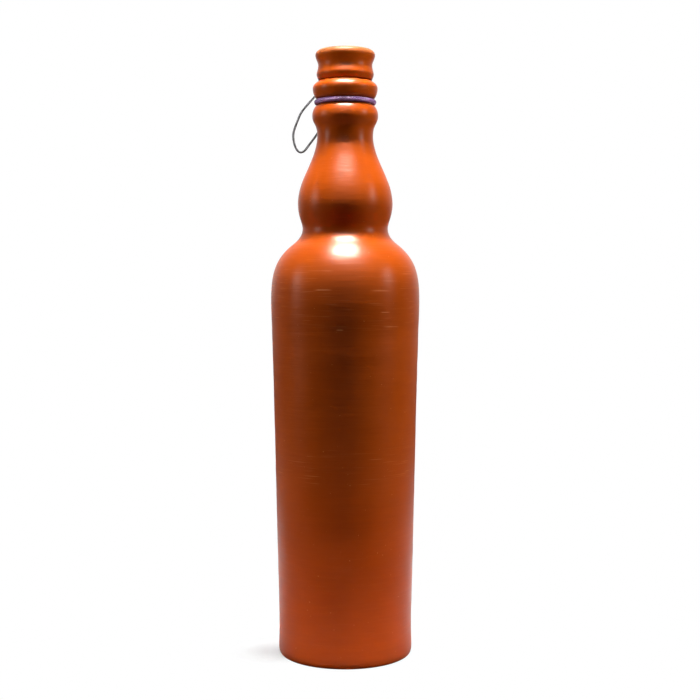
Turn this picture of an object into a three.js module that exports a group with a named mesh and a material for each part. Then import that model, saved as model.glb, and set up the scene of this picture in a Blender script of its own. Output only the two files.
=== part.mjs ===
// Burnished clay water bottle, in millimetres, with +Z up, the foot on Z = 0 and the front facing -Y.
// A turned hollow body, a turned stopper with a rubber ring on its plug, a cord lying in the groove
// of the neck, and a thin loop of cord threaded through the round turn that the cord takes at the back.
import * as THREE from "three";

// Driving dimensions
const OVERALL_HEIGHT = 327;
const BODY_RADIUS = 40.2;
const BORE_RADIUS = 9.5;
const WALL = 6;
const STOPPER_HEIGHT = 16.4;
const PLUG_LENGTH = 22;
const NECK_CORD_RADIUS = 1.4;
const LOOP_CORD_RADIUS = 0.65;
const GAP = 0.3;

// Facets
const ROUND_STEPS = 36;
const NECK_CORD_STEPS = 76;
const LOOP_STEPS = 56;
const HALF_CORD_SIDES = 4;

const at = (radius, height) => new THREE.Vector2(radius, height);

// Stations of the body's outer outline, from the foot to the seat of the stopper
const SEAT_HEIGHT = OVERALL_HEIGHT - STOPPER_HEIGHT - GAP;
const FOOT_RECESS = 1.5;
const FOOT_RING = { inner: 25, slope: 2, outer: 33.9 };
const HEEL = at(36.3, 4.2);
const PINCH = at(36.1, 22);
const LOW_WALL = at(37, 60);
const HIGH_WALL = at(38.8, 144);
const WIDEST = at(BODY_RADIUS, 191);
const SHOULDER_TURN = at(29, 222.6);
const SHOULDER_SLOPE = at(-1.2, 1).normalize();
const WAIST = at(22.95, 231.3);
const BULB = at(25.6, 244.6);
const NECK = at(15, 281.4);
const BEAD = at(17.8, 292);
const GROOVE = at(15.1, 299.1);
const GROOVE_EDGE = THREE.MathUtils.degToRad(95);
const COLLAR = at(17.5, 306.3);
const LIP_RADIUS = 14.2;
const LIP = at(LIP_RADIUS, SEAT_HEIGHT);
const MOUTH_ROUNDING = 1.2;

// Lengths of the curve handles that leave those stations along the outline, downwards and upwards
const BODY_DOWN = { shoulderTurn: 13.5, waist: 4.8, bulb: 7, neck: 13, bead: 4.5, collar: 2.6 };
const BODY_UP = { widest: 14.2, shoulderTurn: 1, waist: 3.5, bulb: 13.5, neck: 6.3, bead: 2.6, collar: 1.7 };

// Handles that leave the groove's two edges and the lip
const GROOVE_LOW_HANDLE = at(1, -0.3);
const GROOVE_HIGH_HANDLE = at(0.9, 0.5);
const LIP_HANDLE = at(2, -1.1);

// Stations of the hollow, from its floor to the bore
const FLOOR = 8;
const FLOOR_CORNER = at(30, 15);
const FLOOR_ROUNDING = 7;
const HOLLOW_WIDEST = at(BODY_RADIUS - WALL, 186);
const HOLLOW_WAIST = at(15.4, 231.3);
const HOLLOW_BULB = at(18.6, 244.8);
const BORE_FOOT = at(BORE_RADIUS, 276);
const HOLLOW_DOWN = { waist: 8, bulb: 6, bore: 10 };
const HOLLOW_UP = { widest: 28, waist: 4, bulb: 12 };

// Stations of the stopper, measured from its seat
const SEAT_EDGE = at(LIP_RADIUS, 0);
const SEAT_EDGE_HANDLE = at(0.4, 0.8);
const RING = at(15.4, 3.4);
const KNOB_WAIST = at(14.5, 8.1);
const KNOB = at(16.05, 13.4);
const KNOB_RIM = at(13, STOPPER_HEIGHT);
const KNOB_RIM_HANDLES = { outside: at(2, -0.2), inside: at(-3, 0.2) };
const DISH_DEPTH = 1.6;
const DISH_FLAT = 7;
const STOPPER_DOWN = { ring: 0.9, waist: 2, knob: 1.6 };
const STOPPER_UP = { ring: 1, waist: 1.8, knob: 1.4 };
const PLUG_RADIUS = { top: 8.9, tip: 8.5 };
const PLUG_CHAMFER = 1.2;
const SEAL_RADIUS = 1;
const SEAL_DEPTH = 9;
const SEAL_RING_RADIUS = BORE_RADIUS - GAP - SEAL_RADIUS;

// Round turn of the neck cord, behind the neck and left of it
const TURN_DISTANCE = 21;
const TURN_BEARING = THREE.MathUtils.degToRad(120);
const TURN_RADIUS = LOOP_CORD_RADIUS + GAP + NECK_CORD_RADIUS;
const TURN_SPACING = 0.8;
const TURN_PITCH = 2 * NECK_CORD_RADIUS + TURN_SPACING;
const TURN_POINTS = 8;
const GROOVE_POINTS = 18;
const RISEN_SHARE = 0.2;
const LEVEL_SHARE = 0.5;
const CORD_JOIN_GAP = 0.45;

// Route of the hanging loop, out from the round turn's axis and up from the neck cord
const LOOP_ROUTE = [
  [0, 0.3], [0, 2.6], [0, 4.9], [0.6, 6.8], [1.9, 7.9], [3.5, 8.1], [5.1, 7.1], [7, 5],
  [8.5, 3.4], [10, 1.7], [11.9, -0.5], [13.5, -2.6], [14.7, -4.8], [15.6, -7], [16.5, -9.2],
  [17.3, -11.4], [18, -13.8], [18.2, -16.3], [17.9, -18.8], [17.2, -21.4], [15.9, -23.8], [14.1, -24.8],
  [12.2, -24.1], [10.7, -22.4], [9.1, -20.2], [7.4, -18], [5.5, -15.4], [3.7, -12.6], [2.1, -9.5],
  [0.8, -6.3], [0.1, -3.3], [0, -0.3],
];

const CLAY = { color: 0xc8540a, roughness: 0.38, metalness: 0 };
const RUBBER = { color: 0xcfc9bd, roughness: 0.6, metalness: 0 };
const PURPLE_CORD = { color: 0x86609a, roughness: 0.35, metalness: 0 };
const GREY_CORD = { color: 0x88888b, roughness: 0.55, metalness: 0 };

const line = (from, to) => new THREE.LineCurve(from, to);
const bend = (from, corner, to) => new THREE.QuadraticBezierCurve(from, corner, to);
const sweep = (from, leave, arrive, to) => new THREE.CubicBezierCurve(from, leave, arrive, to);

// A stretch between two stations that stands upright at both, with a handle length at each end.
function swell(from, leave, arrive, to) {
  return sweep(from, at(from.x, from.y + leave), at(to.x, to.y - arrive), to);
}

// Points of an outline made of connected stretches, each a curve and its number of steps.
function outline(stretches) {
  const points = [stretches[0][0].getPoint(0)];
  for (const [curve, steps] of stretches) {
    points.push(...curve.getPoints(steps).slice(1));
  }
  return points;
}

function turned(points) {
  return new THREE.LatheGeometry(points, ROUND_STEPS).rotateX(Math.PI / 2);
}

// A point off a station by a handle.
function off(from, handle, length = 1) {
  return from.clone().addScaledVector(handle, length);
}

function piece(name, geometry, finish) {
  const mesh = new THREE.Mesh(geometry, new THREE.MeshStandardMaterial(finish));
  mesh.name = name;
  return mesh;
}

function roundTube(route, radius, steps) {
  const section = new THREE.Shape().absarc(0, 0, radius, 0, 2 * Math.PI);
  return new THREE.ExtrudeGeometry(section, { steps, curveSegments: HALF_CORD_SIDES, extrudePath: route });
}

// Outer side of the body: recessed foot, tapering wall, shoulder, waist, bulb, neck, bead and collar.
function bodyOutside() {
  const recessEdge = at(FOOT_RING.inner, FOOT_RECESS);
  const ringInside = at(FOOT_RING.inner + FOOT_RING.slope, 0);
  const ringOutside = at(FOOT_RING.outer, 0);
  const wall = [HEEL, PINCH, LOW_WALL, HIGH_WALL, WIDEST];
  const cap = off(SHOULDER_TURN, SHOULDER_SLOPE, -BODY_DOWN.shoulderTurn);
  const fillet = off(SHOULDER_TURN, SHOULDER_SLOPE, BODY_UP.shoulderTurn);
  return [
    [line(at(0, FOOT_RECESS), recessEdge), 1],
    [line(recessEdge, ringInside), 1],
    [line(ringInside, ringOutside), 1],
    [bend(ringOutside, at(HEEL.x, 0), HEEL), 4],
    [new THREE.SplineCurve(wall), 14],
    [sweep(WIDEST, at(WIDEST.x, WIDEST.y + BODY_UP.widest), cap, SHOULDER_TURN), 12],
    [sweep(SHOULDER_TURN, fillet, at(WAIST.x, WAIST.y - BODY_DOWN.waist), WAIST), 5],
    [swell(WAIST, BODY_UP.waist, BODY_DOWN.bulb, BULB), 7],
    [swell(BULB, BODY_UP.bulb, BODY_DOWN.neck, NECK), 11],
    [swell(NECK, BODY_UP.neck, BODY_DOWN.bead, BEAD), 7],
    ...neckGroove(),
    [sweep(COLLAR, at(COLLAR.x, COLLAR.y + BODY_UP.collar), off(LIP, LIP_HANDLE), LIP), 5],
  ];
}

// Shoulder of the bead, the cove that holds the neck cord, and the underside of the collar.
function neckGroove() {
  const coveRadius = NECK_CORD_RADIUS + GAP;
  const cove = new THREE.EllipseCurve(
    GROOVE.x, GROOVE.y, coveRadius, coveRadius, GROOVE_EDGE - Math.PI, Math.PI - GROOVE_EDGE, true);
  const below = cove.getPoint(0);
  const above = cove.getPoint(1);
  return [
    [sweep(BEAD, at(BEAD.x, BEAD.y + BODY_UP.bead), off(below, GROOVE_LOW_HANDLE), below), 5],
    [cove, 8],
    [sweep(above, off(above, GROOVE_HIGH_HANDLE), at(COLLAR.x, COLLAR.y - BODY_DOWN.collar), COLLAR), 5],
  ];
}

// Inner side of the body, from the middle of its floor up through the bulb to the rounded mouth.
function bodyInside() {
  const floorEdge = at(FLOOR_CORNER.x - FLOOR_ROUNDING, FLOOR);
  const boreTop = at(BORE_RADIUS, SEAT_HEIGHT - MOUTH_ROUNDING);
  const mouthEdge = at(BORE_RADIUS + MOUTH_ROUNDING, SEAT_HEIGHT);
  return [
    [line(at(0, FLOOR), floorEdge), 1],
    [bend(floorEdge, at(FLOOR_CORNER.x, FLOOR), FLOOR_CORNER), 3],
    [line(FLOOR_CORNER, HOLLOW_WIDEST), 1],
    [swell(HOLLOW_WIDEST, HOLLOW_UP.widest, HOLLOW_DOWN.waist, HOLLOW_WAIST), 8],
    [swell(HOLLOW_WAIST, HOLLOW_UP.waist, HOLLOW_DOWN.bulb, HOLLOW_BULB), 4],
    [swell(HOLLOW_BULB, HOLLOW_UP.bulb, HOLLOW_DOWN.bore, BORE_FOOT), 6],
    [line(BORE_FOOT, boreTop), 1],
    [bend(boreTop, at(BORE_RADIUS, SEAT_HEIGHT), mouthEdge), 3],
  ];
}

function bottleBody() {
  const inside = outline(bodyInside()).reverse();
  return piece("bottle_body", turned([...outline(bodyOutside()), ...inside]), CLAY);
}

// Tapered plug with a groove for the seal, a seat, a ring, a waist and a flared knob with a dished top.
function stopper() {
  const plugTip = -PLUG_LENGTH;
  const grooveHalf = SEAL_RADIUS + GAP;
  const grooveBottom = SEAL_RING_RADIUS - grooveHalf;
  const grooveLow = -SEAL_DEPTH - grooveHalf;
  const grooveHigh = -SEAL_DEPTH + grooveHalf;
  const plugRadius = (height) =>
    THREE.MathUtils.mapLinear(height, plugTip, 0, PLUG_RADIUS.tip, PLUG_RADIUS.top);
  const plug = [
    at(0, plugTip),
    at(PLUG_RADIUS.tip - PLUG_CHAMFER, plugTip),
    at(plugRadius(plugTip + PLUG_CHAMFER), plugTip + PLUG_CHAMFER),
    at(plugRadius(grooveLow), grooveLow),
    at(grooveBottom, grooveLow),
    at(grooveBottom, grooveHigh),
    at(plugRadius(grooveHigh), grooveHigh),
    at(PLUG_RADIUS.top, 0),
  ];
  const dish = at(0, KNOB_RIM.y - DISH_DEPTH);
  const head = outline([
    [sweep(SEAT_EDGE, off(SEAT_EDGE, SEAT_EDGE_HANDLE), at(RING.x, RING.y - STOPPER_DOWN.ring), RING), 5],
    [swell(RING, STOPPER_UP.ring, STOPPER_DOWN.waist, KNOB_WAIST), 5],
    [swell(KNOB_WAIST, STOPPER_UP.waist, STOPPER_DOWN.knob, KNOB), 6],
    [sweep(KNOB, at(KNOB.x, KNOB.y + STOPPER_UP.knob), off(KNOB_RIM, KNOB_RIM_HANDLES.outside), KNOB_RIM), 5],
    [sweep(KNOB_RIM, off(KNOB_RIM, KNOB_RIM_HANDLES.inside), at(DISH_FLAT, dish.y), dish), 6],
  ]);
  return piece("stopper", turned([...plug, ...head]), CLAY);
}

function stopperGasket() {
  const ring = new THREE.TorusGeometry(SEAL_RING_RADIUS, SEAL_RADIUS, 2 * HALF_CORD_SIDES, ROUND_STEPS);
  const mesh = piece("stopper_gasket", ring, RUBBER);
  mesh.position.z = -SEAL_DEPTH;
  return mesh;
}

// Route of the neck cord, round the groove and then round the loop, level with the groove's middle.
// Its two ends meet on the side of the round turn that faces the neck.
function neckCordRoute() {
  const leave = Math.acos((GROOVE.x - TURN_RADIUS) / TURN_DISTANCE);
  const turnSweep = 2 * Math.PI + 2 * leave;
  const halfJoin = CORD_JOIN_GAP / 2 / TURN_RADIUS;
  const middle = new THREE.Vector3(TURN_DISTANCE, 0, 0);
  const onTurn = (angle) => new THREE.Vector3(
    middle.x + TURN_RADIUS * Math.cos(angle),
    TURN_RADIUS * Math.sin(angle),
    TURN_PITCH * (angle - Math.PI) / (2 * Math.PI));
  const onGroove = (angle) => new THREE.Vector3(
    GROOVE.x * Math.cos(angle), GROOVE.x * Math.sin(angle), 0);
  const between = (count, from, to, place) =>
    Array.from({ length: count + 1 }, (_, i) => place(THREE.MathUtils.lerp(from, to, i / count)));
  const turnEnd = turnSweep - leave;
  const upperTurn = between(TURN_POINTS, Math.PI + halfJoin, turnEnd, onTurn);
  const grooveRun = between(GROOVE_POINTS, leave, 2 * Math.PI - leave, onGroove);
  const lowerTurn = between(TURN_POINTS, -leave, Math.PI - halfJoin, onTurn);
  const clear = (turnPoint, groovePoint) => turnPoint.clone().lerp(groovePoint, RISEN_SHARE).setZ(turnPoint.z);
  const level = (turnPoint, groovePoint) => turnPoint.clone().lerp(groovePoint, LEVEL_SHARE).setZ(0);
  const points = [
    ...upperTurn,
    clear(upperTurn.at(-1), grooveRun[0]),
    level(upperTurn.at(-1), grooveRun[0]),
    ...grooveRun,
    level(lowerTurn[0], grooveRun.at(-1)),
    clear(lowerTurn[0], grooveRun.at(-1)),
    ...lowerTurn,
  ];
  return new THREE.CatmullRomCurve3(points);
}

// Least gap between stretches of a ring of cord that are more than three diameters apart along it.
function leastGap(route, radius, count = 400) {
  const points = route.getSpacedPoints(count);
  const apart = Math.ceil(6 * radius / (route.getLength() / count));
  let least = Infinity;
  for (let i = 0; i <= count; i += 1) {
    for (let j = i + apart; j <= Math.min(count, i + count - apart); j += 1) {
      least = Math.min(least, points[i].distanceTo(points[j]) - 2 * radius);
    }
  }
  return least;
}

function neckCord() {
  const route = neckCordRoute();
  console.log(`neck_cord least gap to itself: ${leastGap(route, NECK_CORD_RADIUS).toFixed(2)} mm`);
  return piece("neck_cord", roundTube(route, NECK_CORD_RADIUS, NECK_CORD_STEPS), PURPLE_CORD);
}

// The loop lies in the upright plane through the round turn's axis that runs to the bottle's left.
function hangLoop() {
  const route = new THREE.CatmullRomCurve3(LOOP_ROUTE.map(([out, up]) => new THREE.Vector3(-out, 0, up)));
  console.log(`hang_loop length: ${route.getLength().toFixed(1)} mm`);
  const mesh = piece("hang_loop", roundTube(route, LOOP_CORD_RADIUS, LOOP_STEPS), GREY_CORD);
  mesh.position.set(TURN_DISTANCE * Math.cos(TURN_BEARING), TURN_DISTANCE * Math.sin(TURN_BEARING), 0);
  return mesh;
}

function stopperGroup() {
  const group = new THREE.Group();
  group.position.z = SEAT_HEIGHT + GAP;
  group.add(stopper(), stopperGasket());
  return group;
}

function neckCordGroup() {
  const group = new THREE.Group();
  const cord = neckCord();
  cord.rotation.z = TURN_BEARING;
  group.position.z = GROOVE.y;
  group.add(cord, hangLoop());
  return group;
}

const bottle = new THREE.Group();
bottle.add(bottleBody(), stopperGroup(), neckCordGroup());

export default bottle;
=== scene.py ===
"""Dress the clay water bottle: burnished clay, a braided neck cord and a twisted hanging loop.

The turned pieces are outlines in millimetres that a Geometry Nodes tree revolves, and the cords are
strands that another tree lays round a path. All meshes are in metres, in the frame of the solids.
"""
import math
from types import SimpleNamespace
from typing import NamedTuple

import bpy
from bpy.props import FloatProperty, FloatVectorProperty, IntProperty, PointerProperty
from mathutils import Matrix, Vector


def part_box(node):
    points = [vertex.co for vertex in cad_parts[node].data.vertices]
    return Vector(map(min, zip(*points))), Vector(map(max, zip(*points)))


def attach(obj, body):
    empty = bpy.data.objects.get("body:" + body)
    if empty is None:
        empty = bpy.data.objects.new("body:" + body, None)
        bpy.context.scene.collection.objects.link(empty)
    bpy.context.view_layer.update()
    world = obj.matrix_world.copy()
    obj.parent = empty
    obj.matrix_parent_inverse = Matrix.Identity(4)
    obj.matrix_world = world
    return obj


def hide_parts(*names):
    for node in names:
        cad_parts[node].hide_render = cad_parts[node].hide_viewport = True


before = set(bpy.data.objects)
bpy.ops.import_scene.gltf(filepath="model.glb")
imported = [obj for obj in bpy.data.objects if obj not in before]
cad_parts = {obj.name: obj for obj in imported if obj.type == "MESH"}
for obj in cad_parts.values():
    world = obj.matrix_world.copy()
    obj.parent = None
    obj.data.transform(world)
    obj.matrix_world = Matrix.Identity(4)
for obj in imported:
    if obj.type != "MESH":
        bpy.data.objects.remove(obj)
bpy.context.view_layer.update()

bl_info = {
    "name": "Clay water bottle",
    "version": (1, 0, 0),
    "blender": (4, 5, 0),
    "location": "View3D > Sidebar > Bottle",
    "description": "Makes the burnished bottle, its stopper, its cords and the stage that they stand on",
    "category": "Object",
}

MM = 0.001


def at(radius, height):
    """A station of an outline, in millimetres."""
    return Vector((radius, height))


# Stations of the body's outer outline, from the foot to the lip
FOOT_RECESS = 1.5
FOOT_RING_INNER = 25.0
FOOT_RING_SLOPE = 2.0
FOOT_RING_OUTER = 33.9
HEEL = at(36.3, 4.2)
PINCH = at(36.1, 22)
LOW_WALL = at(37.0, 60)
HIGH_WALL = at(38.8, 144)
WIDEST_HEIGHT = 191.0
SHOULDER_TURN = at(28.6, 222.6)
SHOULDER_SLOPE = at(-1.25, 1.0).normalized()
WAIST = at(22.95, 231.3)
BULB = at(25.6, 244.6)
NECK = at(15.0, 281.4)
BEAD = at(17.8, 292.0)
GROOVE = at(15.1, 299.1)
GROOVE_RADIUS = 1.7
GROOVE_EDGE = math.radians(95)
COLLAR = at(17.5, 306.3)
LIP_RADIUS = 14.2
BORE_RADIUS = 9.5
MOUTH_ROUNDING = 1.2

# Lengths of the curve handles that leave those stations along the outline, downwards and upwards
BODY_DOWN = SimpleNamespace(shoulder_turn=13.5, waist=4.8, bulb=7, neck=13, bead=4.5, collar=2.6)
BODY_UP = SimpleNamespace(
    widest=14.2, shoulder_turn=1, waist=3.5, bulb=13.5, neck=6.3, bead=2.6, collar=1.7)

# Handles that leave the groove's two edges and the lip
GROOVE_LOW_HANDLE = at(1, -0.3)
GROOVE_HIGH_HANDLE = at(0.9, 0.5)
LIP_HANDLE = at(2, -1.1)

# Stations and handles of the hollow
FLOOR = 8.0
FLOOR_CORNER = at(30.0, 15.0)
FLOOR_ROUNDING = 7.0
FLOOR_LEAN = 0.3
HOLLOW_WIDEST = at(34.2, 186.0)
HOLLOW_WAIST = at(15.4, 231.3)
HOLLOW_BULB = at(18.6, 244.8)
BORE_FOOT = at(BORE_RADIUS, 276.0)
HOLLOW_DOWN = SimpleNamespace(waist=8, bulb=6, bore=10)
HOLLOW_UP = SimpleNamespace(widest=28, waist=4, bulb=12)

# Stations and handles of the stopper, with heights from its seat
STOPPER_HEIGHT = 16.4
SEAT_EDGE = at(LIP_RADIUS, 0)
SEAT_EDGE_HANDLE = at(0.4, 0.8)
RING = at(15.4, 3.4)
KNOB_WAIST = at(14.5, 8.1)
KNOB_HEIGHT = 13.4
KNOB_RIM_RADIUS = 13.0
KNOB_RIM_HANDLES = SimpleNamespace(outside=at(2, -0.2), inside=at(-3, 0.2))
DISH_DEPTH = 1.6
DISH_FLAT = 7.0
STOPPER_DOWN = SimpleNamespace(ring=0.9, waist=2, knob=1.6)
STOPPER_UP = SimpleNamespace(ring=1, waist=1.8, knob=1.4)
PLUG_TOP_RADIUS = 8.9
PLUG_TIP_RADIUS = 8.5
PLUG_CHAMFER = 1.2
SEAL_DEPTH = 9.0
SEAL_RADIUS = 1.0
SEAL_RING_RADIUS = 8.2
SEAL_GAP = 0.3
SEAL_SEAM = 0.03

# Share of the throwing rings that the sponge left on each stretch, how often one share is faded into the
# next, the room that the rings need inside the solid's widest radius, and where the stopper's rings start
WIPED = 0
RIPPLE = SimpleNamespace(
    wall=1, shoulder=0.2, bulb_foot=0.8, bulb=1, neck=0.6, mouth=0.2,
    hollow_bulb=0.5, hollow_wall=1, hollow_corner=0.3, ring=0.2, knob=0.3, knob_rim=0.2, dish=0.4)
RIPPLE_FADE_PASSES = 6
RIPPLE_ROOM = 0.03
STOPPER_RIPPLE_SEED = 40.0

# Distance in metres within which the points of a turned piece become one
WELD = 1e-6

# Round turn that the neck cord takes behind the neck, and how far the cord lies out of the groove's middle
TURN_DISTANCE = 21.0
TURN_BEARING = math.radians(120)
TURN_RADIUS = 2.35
TURN_PITCH = 3.6
TURN_JOIN_GAP = 0.45
RISEN_SHARE = 0.1
LEVEL_SHARE = 0.65
CORD_STAND_OFF = 0.25

# Route of the hanging loop, out from the round turn's axis and up from the neck cord
LOOP_ROUTE = [
    (0, 0.3), (0, 2.6), (0, 4.9), (0.6, 6.8), (1.9, 7.9), (3.5, 8.1), (5.1, 7.1), (7, 5),
    (8.5, 3.4), (10, 1.7), (11.9, -0.5), (13.5, -2.6), (14.7, -4.8), (15.6, -7), (16.5, -9.2),
    (17.3, -11.4), (18, -13.8), (18.2, -16.3), (17.9, -18.8), (17.2, -21.4), (15.9, -23.8), (14.1, -24.8),
    (12.2, -24.1), (10.7, -22.4), (9.1, -20.2), (7.4, -18), (5.5, -15.4), (3.7, -12.6), (2.1, -9.5),
    (0.8, -6.3), (0.1, -3.3), (0, -0.3),
]

# Strands, as shares of the radius of their cord, with the distance between their rows in metres, and the
# core, as a share of the ring that the strands lie on
LOOP_STRAND = 0.53
LOOP_ROWS = 0.0002
LOOP_STRAND_SIDES = 8
BRAID_STRAND = 0.23
BRAID_WEAVE = 0.07
BRAID_ROWS = 0.00022
BRAID_STRAND_SIDES = 6
CORE_SHARE = 0.9
CORE_SIDES = 12

# Noise that is drawn out round a turned piece, as lines per millimetre up its outline and a scale round it
FINE_LINES = (1.2, 4.0)
COARSE_LINES = (0.6, 2.0)
BROAD_STREAKS = (0.12, 0.7)
SCRATCHES = (1.8, 1.4)
SCRATCH_BREAKS = (0.5, 3.5)
LINE_NOISE = 0.6

# Values of a noise between which its mask goes from none to full
NOISE_SPAN = (0.3, 0.7)
STREAK_SPAN = (0.32, 0.7)
SCRATCH_SPAN = (0.56, 0.72)
BREAK_SPAN = (0.4, 0.65)
FLECK_SPAN = (0.85, 0.89)

# Bands of wear on the wall, as middle and half height in millimetres, and single scuffs, as bearing from
# the front in degrees, height in millimetres, half length in radians and half thickness in millimetres
WORN_BANDS = [(196, 24), (106, 12)]
SCUFFS = [
    (-17, 198.5, 0.15, 0.6), (31, 187, 0.09, 0.4), (38, 179.5, 0.24, 0.4), (-4, 178, 0.06, 0.5),
    (12, 190, 0.08, 0.4),
]
FLECKS_PER_METRE = 1100
QUARTER_TURN = 0.25

# Heights in millimetres between which the clay changes: the foot is redder and less burnished, and the top
# of the knob is dull, with a paler colour painted on it that stands in for its rim lit from above
FOOT_RED = (20, 140)
FOOT_DULL = (10, 140)
KNOB_DULL = (320, 324)
KNOB_TOP_PAINT = (322.5, 326.5)


# Settings

def length_setting(name, description, default, least=0.0):
    """A length in metres."""
    return FloatProperty(name=name, description=description, default=default, min=least, unit="LENGTH")


def angle_setting(name, description, degrees):
    """An angle, with its default in degrees."""
    return FloatProperty(
        name=name, description=description, default=math.radians(degrees), subtype="ANGLE")


def share_setting(name, description, default):
    """A share between none and all."""
    return FloatProperty(
        name=name, description=description, default=default, min=0, max=1, subtype="FACTOR")


def colour_setting(name, description, default):
    """An opaque colour, with its default as linear red, green and blue."""
    return FloatVectorProperty(
        name=name, description=description, default=(*default, 1), size=4, min=0, max=1, subtype="COLOR")


def radiance_setting(name, description, default):
    """The brightness of the face of a lamp or of the surround."""
    return FloatProperty(name=name, description=description, default=default, min=0)


class BottleSizes(bpy.types.PropertyGroup):
    """Sizes of the turned pieces that the outlines leave open."""

    sides: IntProperty(
        name="Sides", description="Facets round each turned piece", default=160, min=24, max=256)
    ripple_depth: length_setting(
        "Ripple depth", "How far the throwing rings leave the true outline", 0.00016)
    ripple_pitch: length_setting("Ripple pitch", "Height of one throwing ring", 0.0075, least=0.001)
    ripple_wander: FloatProperty(
        name="Ripple wander", description="How much a throwing ring changes on its way round", default=0.3)
    edge_passes: IntProperty(
        name="Edge passes", description="How often a wet sponge went over the edges", default=2, min=0)


class ClayFinish(bpy.types.PropertyGroup):
    """Colours and surface of the burnished clay."""

    light_clay: colour_setting("Light clay", "Clay where it is rubbed bright", (0.56, 0.083, 0.0006))
    deep_clay: colour_setting("Deep clay", "Clay where the slip lies thick", (0.45, 0.063, 0.0004))
    foot_tint: colour_setting(
        "Foot tint", "Tint of the clay by the foot, where the fire left it redder", (1, 0.78, 0.7))
    # Painted light: the paler colour of the knob's top stands in for its rim lit from above
    pale_knob_top_paint: colour_setting("Painted knob top", "Paler clay painted on the knob's top for its rim lit from above", (0.33, 0.122, 0.043))
    scuff: colour_setting("Scuff", "Pale dust in scratches", (0.85, 0.27, 0.09))
    shine_tint: colour_setting("Shine tint", "Tint of the clay's reflections", (1, 0.84, 0.76))
    burnish: share_setting("Burnish", "Strength of the clay's reflections", 0.32)
    foot_burnish: share_setting("Foot burnish", "Strength of the reflections by the foot", 0.18)
    knob_burnish: share_setting("Knob burnish", "Share of the burnish that is left on the knob's top", 0.3)
    roughness: share_setting("Roughness", "Roughness of the burnished face", 0.34)
    brushing: share_setting(
        "Brushing", "How much rougher the face is across its turning lines than along them", 0.5)
    line_depth: length_setting("Line depth", "Depth of the fine turning lines", 0.00009)
    body_wear: share_setting("Body wear", "Strength of the scratches and flecks on the body", 0.75)
    stopper_wear: share_setting("Stopper wear", "Strength of the scratches and flecks on the stopper", 0.4)


class CordSizes(bpy.types.PropertyGroup):
    """Sizes and finishes of the two cords."""

    neck_radius: length_setting("Neck cord radius", "Radius of the braided neck cord", 0.0014, least=0.0005)
    neck_strands: IntProperty(
        name="Neck cord strands", description="Strands that run each way in the braid", default=6, min=3)
    neck_lay: length_setting(
        "Neck cord lay", "Length of one full turn of a braid strand", 0.0085, least=0.001)
    neck_colour: colour_setting("Neck cord colour", "Dye of the neck cord", (0.38, 0.175, 0.42))
    neck_roughness: share_setting("Neck cord roughness", "Roughness of the neck cord's yarn", 0.22)
    neck_shine: share_setting("Neck cord shine", "Strength of the neck cord's reflections", 1.0)
    loop_radius: length_setting("Loop radius", "Radius of the twisted loop cord", 0.00065, least=0.0002)
    loop_strands: IntProperty(
        name="Loop strands", description="Strands that are twisted into the loop", default=3, min=2)
    loop_lay: length_setting("Loop lay", "Length of one full turn of a loop strand", 0.0026, least=0.0005)
    loop_colour: colour_setting("Loop colour", "Dye of the loop", (0.13, 0.13, 0.135))
    loop_roughness: share_setting("Loop roughness", "Roughness of the loop's yarn", 0.55)
    loop_shine: share_setting("Loop shine", "Strength of the loop's reflections", 0.3)


class StageSettings(bpy.types.PropertyGroup):
    """Camera, and radiance of the lamps and the surround."""

    camera_distance: length_setting("Camera distance", "From the lens to the bottle's axis", 0.7, least=0.1)
    camera_height: length_setting("Camera height", "Height of the lens above the floor", 0.20211)
    camera_pitch: angle_setting("Camera pitch", "How far the camera looks down", 2.97)
    camera_yaw: angle_setting("Camera yaw", "How far the camera looks to the right of the axis", 0.211)
    lens: FloatProperty(
        name="Lens", description="Focal length on a 36 mm sensor, in millimetres", default=66.34, min=10)
    key_brightness: radiance_setting("Key brightness", "Small lamp above the bottle", 712)
    sheen_brightness: radiance_setting(
        "Sheen brightness", "Light that the lamp above adds to reflections alone", 85)
    left_brightness: radiance_setting("Left brightness", "Polarised lamp at the left", 28)
    right_brightness: radiance_setting("Right brightness", "Polarised lamp at the right", 50)
    softbox_brightness: radiance_setting(
        "Softbox brightness", "Softboxes that shine in the clay at both sides", 5.7)
    floor_brightness: radiance_setting(
        "Floor brightness", "Gridded lamp over the floor behind the bottle", 38)
    stopper_brightness: radiance_setting(
        "Stopper brightness", "Gridded lamp in front of the stopper", 0.35)
    bounce_brightness: radiance_setting(
        "Bounce brightness", "Reflector that lies in front of the foot", 0.34)
    backdrop_brightness: radiance_setting("Backdrop brightness", "White surround behind the bottle", 0.27)
    rim_brightness: radiance_setting(
        "Rim brightness", "Light that the surround adds to reflections at the bottle's edges", 0.5)


# Outlines

def up(length):
    """A handle that stands upright."""
    return Vector((0, length))


def on_curve(controls, t):
    """A point on the Bezier curve with these control points."""
    points = list(controls)
    while len(points) > 1:
        points = [a.lerp(b, t) for a, b in zip(points, points[1:])]
    return points[0]


def run(steps, *controls):
    """Points along a line, a quadratic or a cubic curve, with its first point."""
    return [on_curve(controls, i / steps) for i in range(steps + 1)]


def swell(steps, start, leave, arrive, end):
    """A curve that leaves and arrives upright, or downwards where the end is lower."""
    way = math.copysign(1, end.y - start.y)
    return run(steps, start, start + up(way * leave), end - up(way * arrive), end)


def through(points, steps):
    """Points on a smooth curve through the given ones."""
    smooth = [points[0].copy()]
    for i in range(len(points) - 1):
        before, start, end = points[max(i - 1, 0)], points[i], points[i + 1]
        after = points[min(i + 2, len(points) - 1)]
        smooth += run(steps, start, start + (end - before) / 6, end - (after - start) / 6, end)[1:]
    return smooth


def joined(stretches):
    """One outline from (points, ripple) stretches, as points and the share of ripple at each."""
    points, ripple = [stretches[0][0][0]], [stretches[0][1]]
    for stretch, share in stretches:
        points += stretch[1:]
        ripple += [share] * (len(stretch) - 1)
    return points, ripple


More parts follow.
